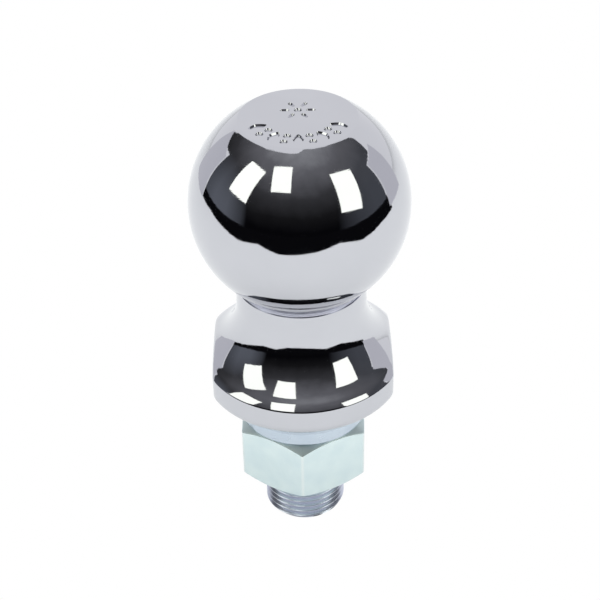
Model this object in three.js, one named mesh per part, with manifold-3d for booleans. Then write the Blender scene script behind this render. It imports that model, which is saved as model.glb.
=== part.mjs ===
// Trailer hitch ball: a one-piece forging of ball, neck, collar and threaded shank,
// with its split lock washer and its hex nut run up under the collar.
// Millimetres, +Z up. The origin is the centre of the shank's flat end, and the axis is Z.

import * as THREE from "three";
import { mergeVertices } from "three/addons/utils/BufferGeometryUtils.js";
import Module from "manifold-3d";

const wasm = await Module();
wasm.setup();

const INCH = 25.4;
const QUARTER_TURN = Math.PI / 2;
const FULL_TURN = 2 * Math.PI;

// Ball and neck. Heights are above the shank's end.
const BALL_RADIUS = (1.875 * INCH) / 2;
const BALL_CENTRE_Z = 85.6;
const BALL_TOP_Z = 105.9;
const BALL_FILLET = 2;
const NECK_RADIUS = 14.2;
const COLUMN_RADIUS = 14.45;
const COLUMN_TOP_Z = 65.3;

// Collar, with a wrench flat on each side. Its side is a chain of arcs, and each arc
// starts at the tilt of its outward normal, in degrees above level, where the one below
// it ended: an undercut, a straight wall, a tight rim, a bevel and a wide cove.
const SEAT_Z = 34.25;
const SEAT_LAND_RADIUS = 15.4;
const COLLAR_RADIUS = 23.4;
const COLLAR_FLATS = 40.7;
const COLLAR_FLATS_TOP_Z = 62;
const WALL_BOTTOM_Z = 42.15;
const WALL_TOP_Z = 46;
const UNDERCUT_CURVE = 3;
const UNDERCUT_TILT = -44;
const RIM_CURVE = 0.8;
const RIM_TILT = 44;
const BEVEL_CURVE = 9;
const BEVEL_TILT = 57;
const COVE_CURVE = 15.4;
const COVE_TILT = 3;

// Shank with a 3/4-16 UNF thread.
const THREAD_PITCH = INCH / 16;
const THREAD_RADIUS = (0.75 * INCH) / 2;
const THREAD_ROOT_RADIUS = 8.55;
const THREAD_CREST = THREAD_PITCH / 8;
const THREAD_FLANK_ANGLE = 30;
const THREAD_TOP_Z = 30.4;
const RUN_OUT = 0.6;
const PLAIN_SHANK_RADIUS = 9.4;
const END_FACE_RADIUS = 8.63;
const END_CHAMFER_HEIGHT = 0.9;

// Split lock washer.
const REST_GAP = 0.2;
const WASHER_INNER_RADIUS = 9.85;
const WASHER_OUTER_RADIUS = 15;
const WASHER_THICKNESS = 4.78;
const WASHER_EDGE = 0.35;
const SPLIT_WIDTH = 1.1;
const SPLIT_SLANT = 25;
const SPLIT_AZIMUTH = 125;

// Hex nut.
const NUT_SIDES = 6;
const NUT_ACROSS_FLATS = 1.125 * INCH;
const NUT_HEIGHT = (41 / 64) * INCH;
const NUT_FACE_RADIUS = 13.2;
const NUT_CHAMFER = 30;
const NUT_CORNER_TURN = -1.95;
const NUT_THREAD_CLEARANCE = 0.2;
const NUT_MOUTH_RADIUS = 10.1;

// Facets, and how far a cutting tool reaches past what it cuts.
const BODY_SEGMENTS = 48;
const THREAD_SEGMENTS = 24;
const ARC_STEP = 7.5;
const OVERSHOOT = 5;
const WELD_DISTANCE = 1e-4;

const radians = THREE.MathUtils.degToRad;

// Points (radius, height) of an arc about a centre, between two tilts in degrees.
function arc(centre, radius, fromTilt, toTilt) {
  const steps = Math.max(2, Math.ceil(Math.abs(toTilt - fromTilt) / ARC_STEP));
  const points = [];
  for (let i = 0; i <= steps; i++) {
    const tilt = radians(THREE.MathUtils.lerp(fromTilt, toTilt, i / steps));
    const spoke = new THREE.Vector2(Math.cos(tilt), Math.sin(tilt));
    points.push(spoke.multiplyScalar(radius).add(centre));
  }
  return points;
}

// The same, but starting at a point. A negative radius curves the other way.
function arcFrom(start, radius, fromTilt, toTilt) {
  const tilt = radians(fromTilt);
  const spoke = new THREE.Vector2(Math.cos(tilt), Math.sin(tilt));
  return arc(start.clone().addScaledVector(spoke, -radius), radius, fromTilt, toTilt);
}

const last = (points) => points[points.length - 1];

// Turns a profile of (radius, height) points, listed from the bottom up, about Z.
function turned(profile) {
  return new THREE.LatheGeometry(profile, BODY_SEGMENTS).rotateX(QUARTER_TURN);
}

function solidOf(geometry) {
  geometry.deleteAttribute("normal");
  geometry.deleteAttribute("uv");
  const merged = mergeVertices(geometry, WELD_DISTANCE);
  const mesh = new wasm.Mesh({
    numProp: 3,
    vertProperties: merged.attributes.position.array,
    triVerts: new Uint32Array(merged.index.array),
  });
  return new wasm.Manifold(mesh);
}

function meshOf(name, solid, material) {
  const { vertProperties, triVerts } = solid.getMesh();
  const geometry = new THREE.BufferGeometry();
  geometry.setAttribute("position", new THREE.BufferAttribute(vertProperties, 3));
  geometry.setIndex(new THREE.BufferAttribute(triVerts, 1));
  const mesh = new THREE.Mesh(geometry, material);
  mesh.name = name;
  return mesh;
}

// A rod with a right-hand thread, reaching past both heights. Its rows of vertices climb
// one pitch per turn, so each row ends where the row one turn further up starts. The
// helix passes angle 0 at height 0.
function threadedRod(crestRadius, rootRadius, fromZ, toZ) {
  const flank = (crestRadius - rootRadius) * Math.tan(radians(THREAD_FLANK_ANGLE));
  const section = [
    [crestRadius, 0],
    [crestRadius, THREAD_CREST],
    [rootRadius, THREAD_CREST + flank],
    [rootRadius, THREAD_PITCH - flank],
  ];
  const firstTurn = Math.floor(fromZ / THREAD_PITCH) - 1;
  const turns = Math.ceil(toZ / THREAD_PITCH) - firstTurn;
  const rows = turns * section.length;
  const width = THREAD_SEGMENTS + 1;
  const positions = [];
  for (let row = 0; row <= rows; row++) {
    const [radius, offset] = section[row % section.length];
    const turn = firstTurn + Math.floor(row / section.length);
    for (let i = 0; i < width; i++) {
      const part = i / THREAD_SEGMENTS;
      const x = radius * Math.cos(part * FULL_TURN);
      const y = radius * Math.sin(part * FULL_TURN);
      positions.push(x, y, (turn + part) * THREAD_PITCH + offset);
    }
  }
  const index = [];
  for (let row = 0; row < rows; row++) {
    for (let i = 0; i < THREAD_SEGMENTS; i++) {
      const a = row * width + i;
      const b = a + width;
      index.push(a, a + 1, b + 1, a, b + 1, b);
    }
  }
  // Each end is a fan round the outermost row and back along the step of one pitch.
  const closeEnd = (row, stepRow, stepColumn, turn, faceUp) => {
    const rim = [];
    for (let i = 0; i < width; i++) rim.push(row * width + i);
    for (let k = section.length - 1; k >= 0; k--) {
      rim.push((stepRow + k) * width + stepColumn);
    }
    const centre = positions.length / 3;
    positions.push(0, 0, (turn + 0.5) * THREAD_PITCH);
    for (let i = 1; i < rim.length; i++) {
      index.push(centre, ...(faceUp ? [rim[i - 1], rim[i]] : [rim[i], rim[i - 1]]));
    }
  };
  closeEnd(0, 0, 0, firstTurn, false);
  closeEnd(rows, rows - section.length, THREAD_SEGMENTS, firstTurn + turns, true);
  const geometry = new THREE.BufferGeometry();
  geometry.setAttribute("position", new THREE.Float32BufferAttribute(positions, 3));
  geometry.setIndex(index);
  return geometry;
}

// The collar's side, from the seat's edge up to the column under the neck. Outside its
// land radius the seat stays clear of the washer.
function collarSide() {
  const wallBottom = new THREE.Vector2(COLLAR_RADIUS, WALL_BOTTOM_Z);
  const wallTop = new THREE.Vector2(COLLAR_RADIUS, WALL_TOP_Z);
  const undercut = arcFrom(wallBottom, UNDERCUT_CURVE, 0, UNDERCUT_TILT).reverse();
  const rim = arcFrom(wallTop, RIM_CURVE, 0, RIM_TILT);
  const bevel = arcFrom(last(rim), BEVEL_CURVE, RIM_TILT, BEVEL_TILT);
  const cove = arcFrom(last(bevel), -COVE_CURVE, BEVEL_TILT, COVE_TILT);
  const seatEdge = undercut[0].clone();
  const slope = 1 / Math.tan(radians(-UNDERCUT_TILT));
  seatEdge.x -= (seatEdge.y - SEAT_Z) / slope;
  seatEdge.y = SEAT_Z;
  return [seatEdge, ...undercut, ...rim, ...bevel.slice(1), ...cove.slice(1)];
}

// What the two wrench flats take off the collar, at the +X and -X sides.
function flatCutters() {
  const width = COLLAR_RADIUS - COLLAR_FLATS / 2 + OVERSHOOT;
  const low = SEAT_Z - OVERSHOOT;
  const height = COLLAR_FLATS_TOP_Z - low;
  return [-1, 1].map((side) => {
    const block = new THREE.BoxGeometry(width, 2 * (COLLAR_RADIUS + OVERSHOOT), height);
    block.translate((side * (COLLAR_FLATS + width)) / 2, 0, low + height / 2);
    return solidOf(block);
  });
}

// The fillet that is the ball's neck, and the ball up to its flat top.
function neckAndBall() {
  const filletRadius = NECK_RADIUS + BALL_FILLET;
  const reach = BALL_RADIUS + BALL_FILLET;
  const drop = Math.sqrt(reach ** 2 - filletRadius ** 2);
  const tilt = -THREE.MathUtils.radToDeg(Math.atan2(drop, filletRadius));
  const filletCentre = new THREE.Vector2(filletRadius, BALL_CENTRE_Z - drop);
  const fillet = arc(filletCentre, -BALL_FILLET, 0, tilt);
  const topTilt = THREE.MathUtils.radToDeg(
    Math.asin((BALL_TOP_Z - BALL_CENTRE_Z) / BALL_RADIUS),
  );
  const ballCentre = new THREE.Vector2(0, BALL_CENTRE_Z);
  const ball = arc(ballCentre, BALL_RADIUS, tilt, topTilt);
  return [...fillet, ...ball.slice(1)];
}

function hitchBall() {
  const body = solidOf(
    turned([
      new THREE.Vector2(0, THREAD_TOP_Z),
      new THREE.Vector2(PLAIN_SHANK_RADIUS, THREAD_TOP_Z),
      new THREE.Vector2(PLAIN_SHANK_RADIUS, SEAT_Z),
      new THREE.Vector2(SEAT_LAND_RADIUS, SEAT_Z),
      ...collarSide(),
      new THREE.Vector2(COLUMN_RADIUS, COLUMN_TOP_Z),
      ...neckAndBall(),
      new THREE.Vector2(0, BALL_TOP_Z),
    ]),
  );
  const wide = THREAD_RADIUS + OVERSHOOT;
  const chamferSlope = END_CHAMFER_HEIGHT / (THREAD_RADIUS - END_FACE_RADIUS);
  const stock = solidOf(
    turned([
      new THREE.Vector2(0, 0),
      new THREE.Vector2(END_FACE_RADIUS, 0),
      new THREE.Vector2(wide, (wide - END_FACE_RADIUS) * chamferSlope),
      new THREE.Vector2(wide, THREAD_TOP_Z),
      new THREE.Vector2(PLAIN_SHANK_RADIUS, THREAD_TOP_Z + RUN_OUT),
      new THREE.Vector2(0, THREAD_TOP_Z + RUN_OUT),
    ]),
  );
  const thread = solidOf(
    threadedRod(THREAD_RADIUS, THREAD_ROOT_RADIUS, 0, THREAD_TOP_Z + RUN_OUT),
  );
  const [left, right] = flatCutters();
  return body.subtract(left).subtract(right).add(thread.intersect(stock));
}

// The washer about its own middle, pressed flat, with the slanted split cut through it.
function lockWasher() {
  const half = WASHER_THICKNESS / 2;
  const inner = WASHER_INNER_RADIUS;
  const outer = WASHER_OUTER_RADIUS;
  const outline = [
    [inner + WASHER_EDGE, -half],
    [outer - WASHER_EDGE, -half],
    [outer, WASHER_EDGE - half],
    [outer, half - WASHER_EDGE],
    [outer - WASHER_EDGE, half],
    [inner + WASHER_EDGE, half],
    [inner, half - WASHER_EDGE],
    [inner, WASHER_EDGE - half],
    [inner + WASHER_EDGE, -half],
  ];
  const ring = solidOf(turned(outline.map(([r, z]) => new THREE.Vector2(r, z))));
  const reach = outer - inner + 2 * OVERSHOOT;
  const blade = new THREE.BoxGeometry(reach, SPLIT_WIDTH, 2 * (half + OVERSHOOT));
  blade.rotateX(radians(SPLIT_SLANT));
  blade.translate((inner + outer) / 2, 0, 0);
  blade.rotateZ(radians(SPLIT_AZIMUTH));
  return ring.subtract(solidOf(blade));
}

// The nut from its lower face up, with its corners turned by a given angle.
function hexNut(cornerTurn) {
  const cornerRadius = NUT_ACROSS_FLATS / 2 / Math.cos(Math.PI / NUT_SIDES);
  const prism = new THREE.CylinderGeometry(cornerRadius, cornerRadius, NUT_HEIGHT, NUT_SIDES);
  prism.rotateX(QUARTER_TURN);
  prism.rotateZ(cornerTurn);
  prism.translate(0, 0, NUT_HEIGHT / 2);
  const wide = cornerRadius + OVERSHOOT;
  const rise = (wide - NUT_FACE_RADIUS) * Math.tan(radians(NUT_CHAMFER));
  const chamfers = turned([
    new THREE.Vector2(0, 0),
    new THREE.Vector2(NUT_FACE_RADIUS, 0),
    new THREE.Vector2(wide, rise),
    new THREE.Vector2(wide, NUT_HEIGHT - rise),
    new THREE.Vector2(NUT_FACE_RADIUS, NUT_HEIGHT),
    new THREE.Vector2(0, NUT_HEIGHT),
  ]);
  const tap = threadedRod(
    THREAD_RADIUS + NUT_THREAD_CLEARANCE,
    THREAD_ROOT_RADIUS + NUT_THREAD_CLEARANCE,
    -OVERSHOOT,
    NUT_HEIGHT + OVERSHOOT,
  );
  // An hourglass, whose ends open both mouths of the bore at 45 degrees.
  const waist = NUT_MOUTH_RADIUS + OVERSHOOT - NUT_HEIGHT / 2 - OVERSHOOT;
  const mouths = turned([
    new THREE.Vector2(0, -OVERSHOOT),
    new THREE.Vector2(NUT_MOUTH_RADIUS + OVERSHOOT, -OVERSHOOT),
    new THREE.Vector2(waist, NUT_HEIGHT / 2),
    new THREE.Vector2(NUT_MOUTH_RADIUS + OVERSHOOT, NUT_HEIGHT + OVERSHOOT),
    new THREE.Vector2(0, NUT_HEIGHT + OVERSHOOT),
  ]);
  const blank = solidOf(prism).intersect(solidOf(chamfers));
  return blank.subtract(solidOf(tap)).subtract(solidOf(mouths));
}

const chrome = new THREE.MeshStandardMaterial({
  name: "chrome",
  color: 0xd8d9dd,
  metalness: 1,
  roughness: 0.06,
});
const washerZinc = new THREE.MeshStandardMaterial({
  name: "washer_zinc",
  color: 0xc9d6e0,
  metalness: 1,
  roughness: 0.35,
});
const nutZinc = new THREE.MeshStandardMaterial({
  name: "nut_zinc",
  color: 0xd2dfe3,
  metalness: 1,
  roughness: 0.38,
});

const washer = meshOf("lock_washer", lockWasher(), washerZinc);
washer.position.z = SEAT_Z - REST_GAP - WASHER_THICKNESS / 2;

// A nut meshes with the shank at any height, once turned by one turn per pitch climbed.
const nutBottomZ = SEAT_Z - REST_GAP - WASHER_THICKNESS - REST_GAP - NUT_HEIGHT;
const nutTurn = FULL_TURN * ((nutBottomZ / THREAD_PITCH) % 1);
const nut = meshOf("hex_nut", hexNut(radians(NUT_CORNER_TURN) - nutTurn), nutZinc);
nut.position.z = nutBottomZ;
nut.rotation.z = nutTurn;

const fasteners = new THREE.Group();
fasteners.add(washer, nut);

const assembly = new THREE.Group();
assembly.add(meshOf("hitch_ball", hitchBall(), chrome), fasteners);

export default assembly;
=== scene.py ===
"""A chromed trailer hitch ball with its split lock washer and its hex nut, in a small studio.

The three pieces stand for the three CAD nodes and ride on their bodies. Shapes are worked out
in millimetres, in the part's own frame, and become metres when a piece's mesh is made.
"""

import math

import bmesh
import bpy
from mathutils import Matrix, Vector
from mathutils.geometry import delaunay_2d_cdt

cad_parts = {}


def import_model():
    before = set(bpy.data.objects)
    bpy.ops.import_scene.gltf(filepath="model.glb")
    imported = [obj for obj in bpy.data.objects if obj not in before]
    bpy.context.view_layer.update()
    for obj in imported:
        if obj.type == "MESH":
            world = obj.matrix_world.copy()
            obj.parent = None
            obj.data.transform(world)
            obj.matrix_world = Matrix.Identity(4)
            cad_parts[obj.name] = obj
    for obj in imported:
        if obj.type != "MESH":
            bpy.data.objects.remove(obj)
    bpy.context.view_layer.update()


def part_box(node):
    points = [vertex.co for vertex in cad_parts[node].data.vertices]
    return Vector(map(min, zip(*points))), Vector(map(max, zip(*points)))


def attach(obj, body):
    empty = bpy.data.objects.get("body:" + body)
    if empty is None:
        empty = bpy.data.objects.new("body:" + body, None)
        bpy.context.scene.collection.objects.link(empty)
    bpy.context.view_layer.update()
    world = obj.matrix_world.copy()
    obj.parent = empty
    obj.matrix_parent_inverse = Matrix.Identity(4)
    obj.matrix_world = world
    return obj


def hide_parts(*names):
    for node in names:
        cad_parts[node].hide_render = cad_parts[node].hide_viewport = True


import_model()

MM = 0.001
INCH = 25.4
TURN = 2 * math.pi


def node_box(node):
    """A CAD node's lowest and highest corner in millimetres."""
    return [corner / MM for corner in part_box(node)]


BALL_LOW, BALL_HIGH = node_box("hitch_ball")
WASHER_LOW, WASHER_HIGH = node_box("lock_washer")
NUT_LOW, NUT_HIGH = node_box("hex_nut")

# Ball and neck.
BALL_RADIUS = (BALL_HIGH.x - BALL_LOW.x) / 2
BALL_TOP_Z = BALL_HIGH.z
BALL_TOP_HEIGHT = 20.3
BALL_CENTRE_Z = BALL_TOP_Z - BALL_TOP_HEIGHT
NECK_RADIUS = 14.2
NECK_FILLET = 2
COLUMN_RADIUS = 14.45
COLUMN_TOP_DROP = 20.3
COLUMN_TOP_Z = BALL_CENTRE_Z - COLUMN_TOP_DROP
TOP_EDGE_ROUNDING = 0.35
TOP_RIM_WIDTH = 0.2
NECK_RIPPLE = 0.035
NECK_RIPPLES = 4

# Collar: a chain of arcs, each starting at the tilt where the one below it ended, and a
# wrench flat on each side.
WASHER_GAP = 0.2
SEAT_Z = WASHER_HIGH.z + WASHER_GAP
COLLAR_RADIUS = 23.4
COLLAR_FLATS = 40.7
FLATS_SOFTNESS = 0.45
WALL_BOTTOM_RISE = 7.9
WALL_TOP_RISE = 11.75
WALL_BOTTOM_Z = SEAT_Z + WALL_BOTTOM_RISE
WALL_TOP_Z = SEAT_Z + WALL_TOP_RISE
UNDERCUT_CURVE, UNDERCUT_TILT = 3, -44
RIM_CURVE, RIM_TILT = 0.8, 44
BEVEL_CURVE, BEVEL_TILT = 9, 57
COVE_CURVE, COVE_TILT = 15.4, 3
SEAT_EDGE_ROUNDING = 0.3

# Shank and its 3/4-16 UNF thread.
PITCH = INCH / 16
THREAD_RADIUS = 0.75 * INCH / 2
THREAD_ROOT_RADIUS = 8.55
THREAD_CREST = PITCH / 8
THREAD_FLANK = (THREAD_RADIUS - THREAD_ROOT_RADIUS) * math.tan(math.radians(30))
THREAD_SOFTNESS = 0.07
PLAIN_SHANK_LENGTH = 3.6
THREAD_TOP_Z = SEAT_Z - PLAIN_SHANK_LENGTH
RUN_OUT = 1.0
RUN_OUT_Z = THREAD_TOP_Z - RUN_OUT
PLAIN_SHANK_RADIUS = 9.4
END_FACE_RADIUS = 8.63
END_FACE_RIM = 0.6
END_CHAMFER_HEIGHT = 0.9
END_CHAMFER_SLOPE = END_CHAMFER_HEIGHT / (THREAD_RADIUS - END_FACE_RADIUS)

# Lock washer.
WASHER_INNER_RADIUS = 9.85
WASHER_OUTER_RADIUS = (WASHER_HIGH.x - WASHER_LOW.x) / 2
WASHER_ROUNDING = 0.42
SPLIT_WIDTH = 1.1
SPLIT_SLANT = 25
SPLIT_AZIMUTH = 125
SPLIT_ROUNDING = 0.25

# Hex nut.
NUT_SIDES = 6
NUT_HALF_FLATS = 1.125 * INCH / 2
NUT_FACE_RADIUS = 13.2
NUT_CHAMFER = 30
NUT_CORNER_AZIMUTH = -90 - 1.95
NUT_CORNER_ROUNDING = 0.75
NUT_EDGE_ROUNDING = 0.4
NUT_THREAD_CLEARANCE = 0.2
NUT_MOUTH_RADIUS = 10.1
# Radius of the nut's corners, and the gaps inward from it, for the painted highlight along the
# corner edges.
NUT_CORNER_HIGHLIGHT_RADIUS = 16.45
NUT_CORNER_HIGHLIGHT_GAPS = (0.2, 0.05)

# Fineness of the meshes.
BODY_COLUMNS = 208
ARC_STEP = 2
ROUNDING_STEPS = 4
FLAT_COLUMNS = 12
CORNER_COLUMNS = 6
WASHER_STEPS = 160
WELD = 0.002
CREASE = 32


# Profiles, as lists of (radius, height)

def arc(centre, radius, start, end, step=ARC_STEP):
    """Points of an arc between two tilts in degrees. A negative radius is concave."""
    steps = max(2, math.ceil(abs(end - start) / step))
    tilts = [math.radians(start + (end - start) * i / steps) for i in range(steps + 1)]
    return [(centre[0] + radius * math.cos(t), centre[1] + radius * math.sin(t)) for t in tilts]


def arc_from(point, radius, start, end):
    """The same, but starting at a point."""
    tilt = math.radians(start)
    centre = (point[0] - radius * math.cos(tilt), point[1] - radius * math.sin(tilt))
    return arc(centre, radius, start, end)


def rounded(points, radii, steps=ROUNDING_STEPS):
    """The open polyline with each inner corner rounded to its radius."""
    made = [points[0]]
    for before, corner, after, radius in zip(points, points[1:], points[2:], radii):
        corner = Vector(corner)
        back = (Vector(before) - corner).normalized()
        ahead = (Vector(after) - corner).normalized()
        half = back.angle(ahead) / 2
        trim = radius / math.tan(half)
        centre = corner + (back + ahead).normalized() * (radius / math.sin(half))
        first, second = corner + back * trim - centre, corner + ahead * trim - centre
        for i in range(steps + 1):
            spoke = first.slerp(second, i / steps).normalized() * radius
            made.append(tuple(centre + spoke))
    made.append(points[-1])
    return made


def collar_side():
    """From the seat's inner edge, out, and up to the column under the neck."""
    wall_bottom = (COLLAR_RADIUS, WALL_BOTTOM_Z)
    undercut = arc_from(wall_bottom, UNDERCUT_CURVE, 0, UNDERCUT_TILT)[::-1]
    rim = arc_from((COLLAR_RADIUS, WALL_TOP_Z), RIM_CURVE, 0, RIM_TILT)
    bevel = arc_from(rim[-1], BEVEL_CURVE, RIM_TILT, BEVEL_TILT)
    cove = arc_from(bevel[-1], -COVE_CURVE, BEVEL_TILT, COVE_TILT)
    rise = undercut[0][1] - SEAT_Z
    edge = (undercut[0][0] - rise * math.tan(math.radians(-UNDERCUT_TILT)), SEAT_Z)
    seat = rounded([(PLAIN_SHANK_RADIUS, SEAT_Z), edge, undercut[0]], [SEAT_EDGE_ROUNDING])
    return seat[1:-1] + undercut + rim + bevel[1:] + cove[1:]


def flatted(angles, radius, z):
    """A ring of the collar, cut by the two wrench flats with slightly soft edges."""
    row = []
    for angle in angles:
        away = max(abs(math.cos(angle)), 0.1)
        limit = COLLAR_FLATS / 2 / away
        soft = math.hypot(radius - limit, FLATS_SOFTNESS)
        row.append((angle, (radius + limit - soft) / 2, z))
    return row


def neck_and_ball():
    """The neck's fillet with its turned ripples, and the ball up to the rim of its flat top."""
    reach = BALL_RADIUS + NECK_FILLET
    drop = math.sqrt(reach**2 - (NECK_RADIUS + NECK_FILLET) ** 2)
    tilt = -math.degrees(math.atan2(drop, NECK_RADIUS + NECK_FILLET))
    centre = Vector((NECK_RADIUS + NECK_FILLET, BALL_CENTRE_Z - drop))
    fillet = []
    for i, point in enumerate(arc(centre, -NECK_FILLET, 0, tilt)):
        spoke = (Vector(point) - centre).normalized()
        share = i / (abs(tilt) / ARC_STEP)
        ripple = NECK_RIPPLE * math.sin(math.pi * NECK_RIPPLES * share) ** 2
        fillet.append(tuple(centre + spoke * (NECK_FILLET + ripple)))
    top_tilt = math.degrees(math.asin((BALL_TOP_Z - BALL_CENTRE_Z) / BALL_RADIUS))
    ball = arc((0, BALL_CENTRE_Z), BALL_RADIUS, tilt, top_tilt)
    rim = rounded([ball[-2], ball[-1], (0, BALL_TOP_Z)], [TOP_EDGE_ROUNDING])
    return fillet[:-1] + ball[:-2] + rim[:-1]


# Threads

def soft_clip(value):
    """Value held between 0 and 1, with both turns rounded."""
    low = math.hypot(value, THREAD_SOFTNESS)
    high = math.hypot(value - 1, THREAD_SOFTNESS)
    return (low - high + 1) / 2


def thread_radius(angle, z):
    """The shank thread's radius there. The nut's groove is this plus its clearance."""
    phase = z / PITCH - angle / TURN - THREAD_CREST / 2 / PITCH
    away = abs(phase - round(phase)) * PITCH
    share = (THREAD_CREST / 2 + THREAD_FLANK - away) / THREAD_FLANK
    return THREAD_ROOT_RADIUS + (THREAD_RADIUS - THREAD_ROOT_RADIUS) * soft_clip(share)


def thread_offsets():
    """Heights above a crest's middle, over one pitch, where the rows of vertices lie."""
    crest, root = THREAD_CREST / 2, THREAD_CREST / 2 + THREAD_FLANK
    half = [0, crest * 0.7, crest * 1.3, crest + THREAD_FLANK * 0.14]
    half += [(crest + root) / 2, root - THREAD_FLANK * 0.14, root, PITCH / 2]
    return half + [PITCH - offset for offset in half[-2:0:-1]]


def thread_rows(angles, low, high, radius_at):
    """Rows of points that climb with the helix, held between two heights."""
    rows = []
    for turn in range(math.floor(low / PITCH) - 2, math.ceil(high / PITCH) + 1):
        for offset in thread_offsets():
            row = []
            for angle in angles:
                z = (turn + angle / TURN) * PITCH + THREAD_CREST / 2 + offset
                z = min(max(z, low), high)
                row.append((angle, radius_at(angle, z), z))
            rows.append(row)
    return rows


# Meshes

def ring(angles, radius, z):
    return [(angle, radius, z) for angle in angles]


def skin(mesh, rows):
    """Faces between rows of (angle, radius, height) points that share their angles."""
    grid = [
        [mesh.verts.new((r * math.cos(a), r * math.sin(a), z)) for a, r, z in row]
        for row in rows
    ]
    for below, above in zip(grid, grid[1:]):
        for i in range(len(below) - 1):
            mesh.faces.new((below[i], below[i + 1], above[i + 1], above[i]))
    return grid


def closed_angles(angles):
    """The angles with the first one repeated a turn later."""
    return [*angles, angles[0] + TURN]


def finish_piece(name, mesh, body, node, material):
    """Welds the mesh, turns its faces out, makes the piece and ties it to the frame."""
    bmesh.ops.remove_doubles(mesh, verts=mesh.verts, dist=WELD)
    bmesh.ops.dissolve_degenerate(mesh, edges=mesh.edges, dist=WELD / 4)
    bmesh.ops.recalc_face_normals(mesh, faces=mesh.faces)
    bmesh.ops.scale(mesh, vec=(MM, MM, MM), verts=mesh.verts)
    data = bpy.data.meshes.new(name)
    mesh.to_mesh(data)
    mesh.free()
    data.shade_smooth()
    data.set_sharp_from_angle(angle=math.radians(CREASE))
    data.materials.append(material)
    piece = bpy.data.objects.new(name, data)
    bpy.context.scene.collection.objects.link(piece)
    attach(piece, body)
    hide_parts(node)
    return piece


# The flat top's stamped marks: neutral lozenges, pips and short rays, which spell nothing

MARK_DEPTH = 0.4
MARK_SLOPE = 0.32
MARK_ARC_RADIUS = 9
MARK_ARC_SPAN = 134
MARK_COUNT = 9
LOZENGE_LENGTH, LOZENGE_WIDTH = 4.2, 2.3
PIP_RADIUS = 0.85
PIP_SPREAD = 1.2
STAR_Y = 3.2
STAR_RAYS = 6
STAR_RADIUS = 2.7
RAY_LENGTH, RAY_WIDTH = 2, 0.95
MARK_ROUND_POINTS = 8


def oblong(x, y, direction, length, width, corner):
    """A closed outline about a point: a lozenge, a ray or a pip, by the power of its corners."""
    points = []
    count = 4 * MARK_ROUND_POINTS
    for i in range(count):
        turn = TURN * i / count
        along = length / 2 * math.copysign(abs(math.cos(turn)) ** corner, math.cos(turn))
        across = width / 2 * math.copysign(abs(math.sin(turn)) ** corner, math.sin(turn))
        points.append(
            (
                x + along * math.cos(direction) - across * math.sin(direction),
                y + along * math.sin(direction) + across * math.cos(direction),
            )
        )
    return points


def mark_outlines():
    """Pairs of (outline, depth): each mark has a rim on the flat and a smaller floor."""
    marks = []
    for i in range(MARK_COUNT):
        angle = math.radians(-90 + MARK_ARC_SPAN * (i / (MARK_COUNT - 1) - 0.5))
        if i % 2:
            for radius in (MARK_ARC_RADIUS - PIP_SPREAD, MARK_ARC_RADIUS + PIP_SPREAD):
                x, y = radius * math.cos(angle), radius * math.sin(angle)
                marks.append((x, y, angle, 2 * PIP_RADIUS, 2 * PIP_RADIUS, 1))
        else:
            x, y = MARK_ARC_RADIUS * math.cos(angle), MARK_ARC_RADIUS * math.sin(angle)
            marks.append((x, y, angle, LOZENGE_LENGTH, LOZENGE_WIDTH, 1.5))
    marks.append((0, STAR_Y, 0, 2 * PIP_RADIUS, 2 * PIP_RADIUS, 1))
    for i in range(STAR_RAYS):
        angle = TURN * i / STAR_RAYS
        x, y = STAR_RADIUS * math.cos(angle), STAR_Y + STAR_RADIUS * math.sin(angle)
        marks.append((x, y, angle, RAY_LENGTH, RAY_WIDTH, 0.7))
    made = []
    for x, y, angle, length, width, corner in marks:
        made.append((oblong(x, y, angle, length, width, corner), 0))
        floor = (length - 2 * MARK_SLOPE, width - 2 * MARK_SLOPE)
        made.append((oblong(x, y, angle, *floor, corner), MARK_DEPTH))
    return made


def stamped_disc(mesh, angles, radius):
    """Fills the flat top inside a ring, with the marks pressed into it."""
    outlines = [([(radius * math.cos(a), radius * math.sin(a)) for a in angles], 0)]
    outlines += mark_outlines()
    points, edges, depths = [], [], []
    for outline, depth in outlines:
        first = len(points)
        count = len(outline)
        points += [Vector(p) for p in outline]
        depths += [depth] * count
        edges += [(first + i, first + (i + 1) % count) for i in range(count)]
    flat, _, faces, origins, _, _ = delaunay_2d_cdt(points, edges, [], 1, 1e-5)
    verts = [
        mesh.verts.new((p.x, p.y, BALL_TOP_Z - depths[origin[0]]))
        for p, origin in zip(flat, origins)
    ]
    for face in faces:
        mesh.faces.new([verts[i] for i in face])


def hitch_ball(material):
    mesh = bmesh.new()
    angles = [TURN * i / BODY_COLUMNS for i in range(BODY_COLUMNS)]
    columns = closed_angles(angles)

    def shank_radius(angle, z):
        chamfer = END_FACE_RADIUS + z / END_CHAMFER_SLOPE
        fade = min(max((THREAD_TOP_Z - z) / (THREAD_TOP_Z - RUN_OUT_Z), 0), 1)
        fade = fade * fade * (3 - 2 * fade)
        full = thread_radius(angle, z)
        return min(chamfer, PLAIN_SHANK_RADIUS + (full - PLAIN_SHANK_RADIUS) * fade)

    rows = [ring(columns, 0, 0), ring(columns, END_FACE_RADIUS - END_FACE_RIM, 0)]
    rows += thread_rows(columns, 0, THREAD_TOP_Z, shank_radius)
    rows.append(ring(columns, PLAIN_SHANK_RADIUS, SEAT_Z))
    rows += [flatted(columns, radius, z) for radius, z in collar_side()]
    upper = [(COLUMN_RADIUS, COLUMN_TOP_Z), (NECK_RADIUS, COLUMN_TOP_Z)]
    upper += neck_and_ball()
    inside = upper[-1][0] - TOP_RIM_WIDTH
    upper.append((inside, BALL_TOP_Z))
    rows += [ring(columns, radius, z) for radius, z in upper]
    skin(mesh, rows)
    stamped_disc(mesh, angles, inside)
    return finish_piece("ball_and_shank", mesh, "ball_body", "hitch_ball", material)


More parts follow.
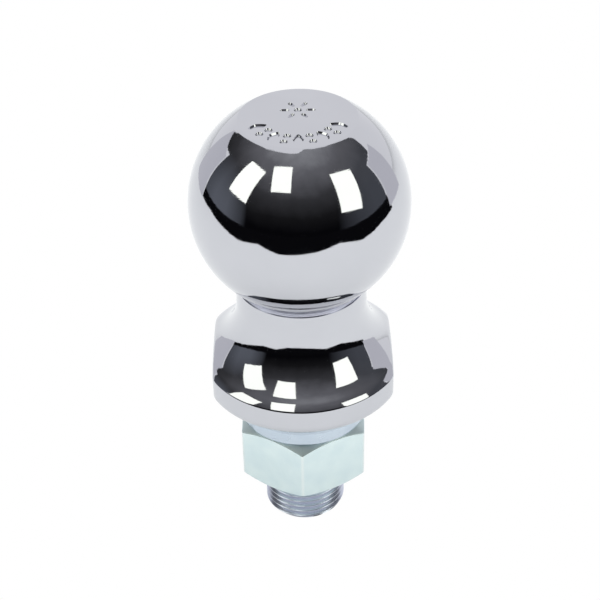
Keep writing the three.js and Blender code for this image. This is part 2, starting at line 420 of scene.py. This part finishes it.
def nut_outline():
    """The hexagon with rounded corners, from one corner round, as (angle, radius)."""
    corner = NUT_HALF_FLATS / math.cos(math.pi / NUT_SIDES)
    turns = [
        math.radians(NUT_CORNER_AZIMUTH) + TURN * k / NUT_SIDES for k in range(NUT_SIDES + 1)
    ]
    corners = [Vector((corner * math.cos(t), corner * math.sin(t))) for t in turns]
    middles = [(a + b) / 2 for a, b in zip(corners, corners[1:])]
    points = []
    for k in range(NUT_SIDES):
        following = middles[k]
        bend = rounded(
            [middles[k - 1], corners[k], following], [NUT_CORNER_ROUNDING], CORNER_COLUMNS
        )[1:-1]
        far = rounded(
            [middles[k], corners[k + 1], middles[(k + 1) % NUT_SIDES]],
            [NUT_CORNER_ROUNDING],
            CORNER_COLUMNS,
        )[1]
        points += [Vector(p) for p in bend]
        points += [
            Vector(bend[-1]).lerp(Vector(far), i / FLAT_COLUMNS) for i in range(1, FLAT_COLUMNS)
        ]
    outline, angle = [], None
    for point in points:
        turned = math.atan2(point.y, point.x)
        while angle is not None and turned < angle:
            turned += TURN
        angle = turned
        outline.append((angle, point.length))
    return outline


def hex_nut(material):
    mesh = bmesh.new()
    low, high = NUT_LOW.z, NUT_HIGH.z
    outline = nut_outline()
    outline.append((outline[0][0] + TURN, outline[0][1]))
    angles = [angle for angle, _ in outline]
    slope = math.tan(math.radians(NUT_CHAMFER))
    sides = []
    for angle, reach in outline:
        rise = (reach - NUT_FACE_RADIUS) * slope
        corners = [
            (NUT_MOUTH_RADIUS, low),
            (NUT_FACE_RADIUS, low),
            (reach, low + rise),
            (reach, high - rise),
            (NUT_FACE_RADIUS, high),
            (NUT_MOUTH_RADIUS, high),
        ]
        sides.append(rounded(corners, [NUT_EDGE_ROUNDING] * 4))

    def bore_radius(angle, z):
        mouth = NUT_MOUTH_RADIUS - min(z - low, high - z)
        return max(thread_radius(angle, z) + NUT_THREAD_CLEARANCE, mouth)

    rows = [[(a, *side[k]) for a, side in zip(angles, sides)] for k in range(len(sides[0]))]
    skin(mesh, rows)
    skin(mesh, thread_rows(angles, low, high, bore_radius))
    return finish_piece("hex_nut_body", mesh, "nut_body", "hex_nut", material)


def lock_washer(material):
    """A ring of rounded section, cut by the slanted split."""
    mesh = bmesh.new()
    low, high = WASHER_LOW.z, WASHER_HIGH.z
    inner, outer = WASHER_INNER_RADIUS, WASHER_OUTER_RADIUS
    middle = Vector(((inner + outer) / 2, (low + high) / 2))
    start = (middle.x, low)
    box = [start, (outer, low), (outer, high), (inner, high), (inner, low), start]
    section = [Vector(p) for p in rounded(box, [WASHER_ROUNDING] * 4)[:-1]]
    slant = math.radians(SPLIT_SLANT)
    split = math.radians(SPLIT_AZIMUTH)

    def split_angle(point, side, back):
        """Where a point of the section meets one face of the split, moved back along the ring."""
        y = (side * SPLIT_WIDTH / 2 - (point.y - middle.y) * math.sin(slant)) / math.cos(slant)
        return split + math.asin(y / point.x) + side * back / point.x

    ends = []
    for i in range(ROUNDING_STEPS + 1):
        turn = math.pi / 2 * i / ROUNDING_STEPS
        ends.append((SPLIT_ROUNDING * (1 - math.sin(turn)), SPLIT_ROUNDING * (1 - math.cos(turn))))
    rows = []

    def add_row(place):
        rows.append([mesh.verts.new(place(p)) for p in section])

    def polar(angle, point):
        return point.x * math.cos(angle), point.x * math.sin(angle), point.y

    def end_row(side, shrink, back):
        def place(p):
            away = p - middle
            across = 1 - 2 * shrink / (outer - inner)
            upright = 1 - 2 * shrink / (high - low)
            pulled = middle + Vector((away.x * across, away.y * upright))
            angle = split_angle(p, side, back) + (TURN if side < 0 else 0)
            return polar(angle, pulled)

        return place

    def middle_row(share):
        def place(p):
            first = split_angle(p, 1, SPLIT_ROUNDING)
            last = split_angle(p, -1, SPLIT_ROUNDING) + TURN
            return polar(first + (last - first) * share, p)

        return place

    for shrink, back in ends[:-1]:
        add_row(end_row(1, shrink, back))
    for i in range(WASHER_STEPS + 1):
        add_row(middle_row(i / WASHER_STEPS))
    for shrink, back in ends[-2::-1]:
        add_row(end_row(-1, shrink, back))
    count = len(section)
    for here, there in zip(rows, rows[1:]):
        for i in range(count):
            j = (i + 1) % count
            mesh.faces.new((here[i], here[j], there[j], there[i]))
    mesh.faces.new(rows[0])
    mesh.faces.new(rows[-1])
    return finish_piece(
        "split_lock_washer", mesh, "washer_body", "lock_washer", material
    )


# Materials

def new_material(name):
    material = bpy.data.materials.new(name)
    material.use_nodes = True
    nodes, links = material.node_tree.nodes, material.node_tree.links
    shader = nodes["Principled BSDF"]
    shader.inputs["Metallic"].default_value = 1
    place = nodes.new("ShaderNodeTexCoord").outputs["Object"]
    return material, nodes, links, shader, place


def noise(nodes, links, place, scale, detail=4, stretch=None):
    """A noise of that many features per metre, stretched along an axis if asked."""
    if stretch:
        mapping = nodes.new("ShaderNodeMapping")
        mapping.inputs["Scale"].default_value = stretch
        links.new(place, mapping.inputs["Vector"])
        place = mapping.outputs["Vector"]
    made = nodes.new("ShaderNodeTexNoise")
    made.inputs["Scale"].default_value = scale
    made.inputs["Detail"].default_value = detail
    links.new(place, made.inputs["Vector"])
    return made.outputs["Fac"]


def ramp(nodes, links, value, low, high, to_low, to_high):
    """Value taken from one range to another, and held inside it."""
    made = nodes.new("ShaderNodeMapRange")
    for name, number in (
        ("From Min", low),
        ("From Max", high),
        ("To Min", to_low),
        ("To Max", to_high),
    ):
        made.inputs[name].default_value = number
    links.new(value, made.inputs["Value"])
    return made.outputs["Result"]


def colour_mix(nodes, links, share, first, second):
    made = nodes.new("ShaderNodeMix")
    made.data_type = "RGBA"
    links.new(share, made.inputs["Factor"])
    for name, colour in (("A", first), ("B", second)):
        socket = [s for s in made.inputs if s.name == name and s.type == "RGBA"][0]
        if isinstance(colour, tuple):
            socket.default_value = (*colour, 1)
        else:
            links.new(colour, socket)
    return [s for s in made.outputs if s.type == "RGBA"][0]


def add(nodes, links, first, second, operation="ADD"):
    made = nodes.new("ShaderNodeMath")
    made.operation = operation
    links.new(first, made.inputs[0])
    if isinstance(second, (int, float)):
        made.inputs[1].default_value = second
    else:
        links.new(second, made.inputs[1])
    return made.outputs["Value"]


def bump(nodes, links, height, strength, distance, below=None):
    made = nodes.new("ShaderNodeBump")
    made.inputs["Strength"].default_value = strength
    made.inputs["Distance"].default_value = distance
    links.new(height, made.inputs["Height"])
    if below:
        links.new(below, made.inputs["Normal"])
    return made.outputs["Normal"]


def chrome_material():
    """Chrome plate: polished on the ball and collar, satin on the neck's foot and the shank."""
    material, nodes, links, shader, place = new_material("chrome_plate")
    apart = nodes.new("ShaderNodeSeparateXYZ")
    links.new(place, apart.inputs["Vector"])
    height = apart.outputs["Z"]
    seat, neck = SEAT_Z * MM, COLUMN_TOP_Z * MM
    on_shank = ramp(nodes, links, height, seat - 0.0006, seat - 0.0001, 1, 0)
    above = ramp(nodes, links, height, neck - 0.00005, neck + 0.00005, 0, 1)
    below = ramp(nodes, links, height, neck + 0.0012, neck + 0.0022, 1, 0)
    on_neck = add(nodes, links, above, below, "MULTIPLY")
    cloud = noise(nodes, links, place, 90)
    plate = colour_mix(nodes, links, cloud, (0.545, 0.55, 0.585), (0.60, 0.605, 0.64))
    shank = colour_mix(nodes, links, cloud, (0.56, 0.60, 0.70), (0.72, 0.75, 0.85))
    upper = colour_mix(nodes, links, on_neck, plate, (0.62, 0.63, 0.73))
    links.new(colour_mix(nodes, links, on_shank, upper, shank), shader.inputs["Base Color"])
    haze = ramp(nodes, links, noise(nodes, links, place, 700), 0.35, 0.75, 0.025, 0.07)
    dull = ramp(nodes, links, on_shank, 0, 1, 0, 0.2)
    satin = ramp(nodes, links, on_neck, 0, 1, 0, 0.3)
    rough = add(nodes, links, add(nodes, links, haze, dull), satin)
    links.new(rough, shader.inputs["Roughness"])
    waves = bump(nodes, links, noise(nodes, links, place, 220, 2), 0.05, 0.0002)
    turning = noise(nodes, links, place, 60, 3, (1, 1, 90))
    links.new(bump(nodes, links, turning, 0.05, 0.00005, waves), shader.inputs["Normal"])
    return material


def zinc_material(name, pale, deep, roughness, corner=None):
    """Clear blue zinc plate: satin, cloudy, duller where it faces up.

    Near the radius of its corners, if it has any, a paler colour is painted along the corner
    edges: a painted highlight.
    """
    material, nodes, links, shader, place = new_material(name)
    cloud = ramp(nodes, links, noise(nodes, links, place, 260, 4), 0.3, 0.7, 0, 1)
    colour = colour_mix(nodes, links, cloud, pale, deep)
    # Painted highlight: the plate turns paler near the corner radius, standing in for the glint on
    # the nut's corner edges.
    if corner:
        apart = nodes.new("ShaderNodeSeparateXYZ")
        links.new(place, apart.inputs["Vector"])
        squares = [add(nodes, links, apart.outputs[k], apart.outputs[k], "MULTIPLY") for k in "XY"]
        inner, outer = (((corner - gap) * MM) ** 2 for gap in NUT_CORNER_HIGHLIGHT_GAPS)
        painted_corner_highlight = ramp(nodes, links, add(nodes, links, *squares), inner, outer, 0, 1)
        colour = colour_mix(nodes, links, painted_corner_highlight, colour, (0.79, 0.86, 0.85))
    links.new(colour, shader.inputs["Base Color"])
    facing = nodes.new("ShaderNodeSeparateXYZ")
    links.new(nodes.new("ShaderNodeNewGeometry").outputs["Normal"], facing.inputs["Vector"])
    upward = ramp(nodes, links, facing.outputs["Z"], 0.2, 0.5, 0, 0.26)
    patch = noise(nodes, links, place, 400)
    spread = ramp(nodes, links, patch, 0.3, 0.7, roughness - 0.04, roughness + 0.04)
    links.new(add(nodes, links, spread, upward), shader.inputs["Roughness"])
    grain = bump(nodes, links, noise(nodes, links, place, 1500, 2), 0.06, 0.00005)
    drawn = noise(nodes, links, place, 500, 2, (1, 1, 0.12))
    links.new(bump(nodes, links, drawn, 0.12, 0.00008, grain), shader.inputs["Normal"])
    return material


# Studio

STUDIO_CENTRE = Vector((0, 0, BALL_CENTRE_Z * MM))
CARD_DISTANCE = 1.5
SHELL_DISTANCE = 1.7
WING_DISTANCE = 0.5
WING_STEPS = 6
DARK_FLOOR_Z = 0.0005
FLOOR_REACH = 4
SHELL_STEPS = 24


def direction(azimuth, elevation):
    """A unit vector: azimuth 0 is towards the front, -Y, and +90 is +X."""
    a, e = math.radians(azimuth), math.radians(elevation)
    return Vector((math.sin(a) * math.cos(e), -math.cos(a) * math.cos(e), math.sin(e)))


def only_reflected(obj):
    """A studio card that shows in reflections and nowhere else."""
    obj.visible_camera = False
    obj.visible_diffuse = False
    obj.visible_transmission = False
    obj.visible_volume_scatter = False
    obj.visible_shadow = False


def glow_material(name, build):
    """An emission material whose colour comes from build(nodes, links), or is one colour."""
    material = bpy.data.materials.new(name)
    material.use_nodes = True
    nodes, links = material.node_tree.nodes, material.node_tree.links
    nodes.clear()
    glow = nodes.new("ShaderNodeEmission")
    out = nodes.new("ShaderNodeOutputMaterial")
    links.new(glow.outputs["Emission"], out.inputs["Surface"])
    if callable(build):
        links.new(build(nodes, links), glow.inputs["Color"])
    else:
        glow.inputs["Color"].default_value = (*build, 1)
    return material


def card(name, corners, distance, material):
    """A flat card whose corners lie in these directions from the ball's centre."""
    data = bpy.data.meshes.new(name)
    points = [STUDIO_CENTRE + direction(*corner) * distance for corner in corners]
    data.from_pydata([tuple(p) for p in points], [], [tuple(range(len(points)))])
    data.materials.append(material)
    obj = bpy.data.objects.new(name, data)
    bpy.context.scene.collection.objects.link(obj)
    only_reflected(obj)
    return obj


def shell(name, columns, distance, material):
    """Part of a sphere: columns of (azimuth, lowest elevation, highest elevation)."""
    mesh = bmesh.new()
    grid = []
    for azimuth, low, high in columns:
        column = []
        for k in range(SHELL_STEPS + 1):
            elevation = low + (high - low) * k / SHELL_STEPS
            column.append(mesh.verts.new(STUDIO_CENTRE + direction(azimuth, elevation) * distance))
        grid.append(column)
    for left, right in zip(grid, grid[1:]):
        for k in range(SHELL_STEPS):
            mesh.faces.new((left[k], right[k], right[k + 1], left[k + 1]))
    data = bpy.data.meshes.new(name)
    mesh.to_mesh(data)
    mesh.free()
    data.materials.append(material)
    obj = bpy.data.objects.new(name, data)
    bpy.context.scene.collection.objects.link(obj)
    only_reflected(obj)
    return obj


def dark_side(nodes, links):
    """Nearly black in front, paler overhead and at both far sides."""
    place = nodes.new("ShaderNodeTexCoord").outputs["Object"]
    apart = nodes.new("ShaderNodeSeparateXYZ")
    links.new(place, apart.inputs["Vector"])
    top = STUDIO_CENTRE.z + SHELL_DISTANCE
    rise = ramp(nodes, links, apart.outputs["Z"], STUDIO_CENTRE.z, top, 0, 1)
    mottle = ramp(nodes, links, noise(nodes, links, place, 3, 3), 0.3, 0.7, -0.03, 0.03)
    made = nodes.new("ShaderNodeValToRGB")
    stops = made.color_ramp.elements
    stops[0].position, stops[0].color = 0.0, (0.003, 0.003, 0.004, 1)
    stops[1].position, stops[1].color = 1.0, (0.33, 0.335, 0.35, 1)
    for position, level in ((0.25, 0.012), (0.55, 0.05), (0.85, 0.17)):
        stop = stops.new(position)
        stop.color = (level, level, level * 1.08, 1)
    links.new(add(nodes, links, rise, mottle), made.inputs["Fac"])
    left = ramp(nodes, links, apart.outputs["X"], -0.8 * SHELL_DISTANCE, -SHELL_DISTANCE, 0, 0.75)
    right = ramp(nodes, links, apart.outputs["X"], 0.6 * SHELL_DISTANCE, SHELL_DISTANCE, 0, 0.4)
    side = add(nodes, links, left, right)
    return colour_mix(nodes, links, side, made.outputs["Color"], (0.20, 0.215, 0.25))


def studio():
    window = glow_material("window_light", (1.75, 1.78, 1.62))
    windows = (
        ("window_left", ((-86, 48), (-56, 51), (-59, 17), (-84, 17))),
        ("window_middle", ((-51, 60), (-14, 66), (-11, 40), (-36, 37))),
        ("window_right", ((49, 50), (78, 40), (66, 7), (43, 13))),
    )
    for name, corners in windows:
        card(name, corners, CARD_DISTANCE, window)
    dark = glow_material("dark_side", dark_side)
    front = (
        (-113, -5, 52), (-97, -5, 61), (-79, -5, 70), (-61, -5, 75), (-40, -5, 78),
        (-20, -5, 80), (0, -5, 81), (21, -5, 83), (45, -5, 85), (61, -5, 84),
        (82, -5, 77), (98, -5, 68),
    )
    shell("dark_front", front, SHELL_DISTANCE, dark)
    shell("dark_left", ((-138, 18, 22), (-126, 22, 39), (-113, 27, 52)), SHELL_DISTANCE, dark)
    shell("dark_right", ((98, 27, 68), (114, 27, 54), (122, 38, 44)), SHELL_DISTANCE, dark)
    grey = glow_material("grey_wing", (0.70, 0.70, 0.75))
    shell("wing_left", wing(-138, -113, 24), WING_DISTANCE, grey)
    shell("wing_right", wing(98, 121, 27), WING_DISTANCE, grey)
    dark_floor(glow_material("dark_floor", (0.004, 0.004, 0.005)))


def wing(start, end, high):
    """Columns of a side wall that stands on the floor."""
    low = -math.degrees(math.asin(STUDIO_CENTRE.z / WING_DISTANCE))
    return [(start + (end - start) * i / WING_STEPS, low, high) for i in range(WING_STEPS + 1)]


def dark_floor(material):
    """The dark floor in front of the white table and to both sides of it, in metres."""
    table = (
        (-0.54, 0.06), (-0.39, -0.07), (-0.26, -0.145), (-0.215, -0.26), (-0.08, -0.215),
        (0.1, -0.26), (0.21, -0.285), (0.23, -0.13), (0.34, -0.045), (0.39, 0.075),
    )
    outside = ((4, 0.6), (4, -4), (-4, -4), (-4, 1.7), (-0.5, 0.21))
    data = bpy.data.meshes.new("dark_floor")
    points = [(x, y, DARK_FLOOR_Z) for x, y in table + outside]
    data.from_pydata(points, [], [tuple(range(len(points)))])
    data.materials.append(material)
    obj = bpy.data.objects.new("dark_floor", data)
    bpy.context.scene.collection.objects.link(obj)
    only_reflected(obj)


def floor():
    """A white table, plain white to the camera as in a cut-out picture."""
    data = bpy.data.meshes.new("floor")
    r = FLOOR_REACH
    data.from_pydata(
        [(-r, -r, 0), (r, -r, 0), (r, r, 0), (-r, r, 0)],
        [],
        [(0, 1, 2, 3)],
    )
    material = bpy.data.materials.new("floor")
    material.use_nodes = True
    nodes, links = material.node_tree.nodes, material.node_tree.links
    shader = nodes["Principled BSDF"]
    shader.inputs["Base Color"].default_value = (0.755, 0.765, 0.755, 1)
    shader.inputs["Roughness"].default_value = 0.9
    shader.inputs["Specular IOR Level"].default_value = 0.1
    white = nodes.new("ShaderNodeEmission")
    seen = nodes.new("ShaderNodeMixShader")
    links.new(nodes.new("ShaderNodeLightPath").outputs["Is Camera Ray"], seen.inputs["Fac"])
    links.new(shader.outputs["BSDF"], seen.inputs[1])
    links.new(white.outputs["Emission"], seen.inputs[2])
    links.new(seen.outputs["Shader"], nodes["Material Output"].inputs["Surface"])
    data.materials.append(material)
    obj = bpy.data.objects.new("floor", data)
    bpy.context.scene.collection.objects.link(obj)


def world():
    """A white tent. The camera sees plain white, and the chrome a slightly greyer one."""
    made = bpy.data.worlds.new("tent")
    bpy.context.scene.world = made
    made.use_nodes = True
    nodes, links = made.node_tree.nodes, made.node_tree.links
    nodes.clear()
    out = nodes.new("ShaderNodeOutputWorld")
    mix = nodes.new("ShaderNodeMixShader")
    path = nodes.new("ShaderNodeLightPath")
    seen = nodes.new("ShaderNodeBackground")
    seen.inputs["Color"].default_value = (1, 1, 1, 1)
    tent = nodes.new("ShaderNodeBackground")
    tent.inputs["Color"].default_value = (0.95, 0.955, 0.98, 1)
    links.new(path.outputs["Is Camera Ray"], mix.inputs["Fac"])
    links.new(tent.outputs["Background"], mix.inputs[1])
    links.new(seen.outputs["Background"], mix.inputs[2])
    links.new(mix.outputs["Shader"], out.inputs["Surface"])


def lights():
    """A soft overhead light, which the chrome doesn't show."""
    data = bpy.data.lights.new("overhead", "AREA")
    data.shape = "DISK"
    data.size = 2.4
    data.energy = 14
    obj = bpy.data.objects.new("overhead", data)
    obj.location = STUDIO_CENTRE + Vector((0.1, -0.2, 1.1))
    obj.rotation_euler = (STUDIO_CENTRE - obj.location).to_track_quat("-Z", "Y").to_euler()
    obj.visible_glossy = False
    bpy.context.scene.collection.objects.link(obj)


# Camera

CAMERA_PLACE = Vector((0, -0.2528, 0.24575))
CAMERA_PITCH = 0.6348
CAMERA_YAW = -0.0014
CAMERA_ROLL = -0.0211
CAMERA_LENS = 84.1


def camera():
    ahead = Vector(
        (
            math.sin(CAMERA_YAW) * math.cos(CAMERA_PITCH),
            math.cos(CAMERA_YAW) * math.cos(CAMERA_PITCH),
            -math.sin(CAMERA_PITCH),
        )
    )
    level = ahead.cross(Vector((0, 0, 1))).normalized()
    upright = level.cross(ahead)
    right = level * math.cos(CAMERA_ROLL) + upright * math.sin(CAMERA_ROLL)
    up = upright * math.cos(CAMERA_ROLL) - level * math.sin(CAMERA_ROLL)
    data = bpy.data.cameras.new("camera")
    data.lens = CAMERA_LENS
    data.clip_start = 0.01
    obj = bpy.data.objects.new("camera", data)
    turned = Matrix((right, up, -ahead)).transposed().to_4x4()
    obj.matrix_world = Matrix.Translation(CAMERA_PLACE) @ turned
    bpy.context.scene.collection.objects.link(obj)
    bpy.context.scene.camera = obj


camera()
world()
floor()
lights()
studio()
hitch_ball(chrome_material())
lock_washer(zinc_material("washer_plate", (0.60, 0.68, 0.76), (0.54, 0.62, 0.71), 0.24))
hex_nut(zinc_material("nut_plate", (0.73, 0.84, 0.84), (0.66, 0.78, 0.80), 0.22, NUT_CORNER_HIGHLIGHT_RADIUS))
bpy.context.scene.view_settings.view_transform = "Standard"
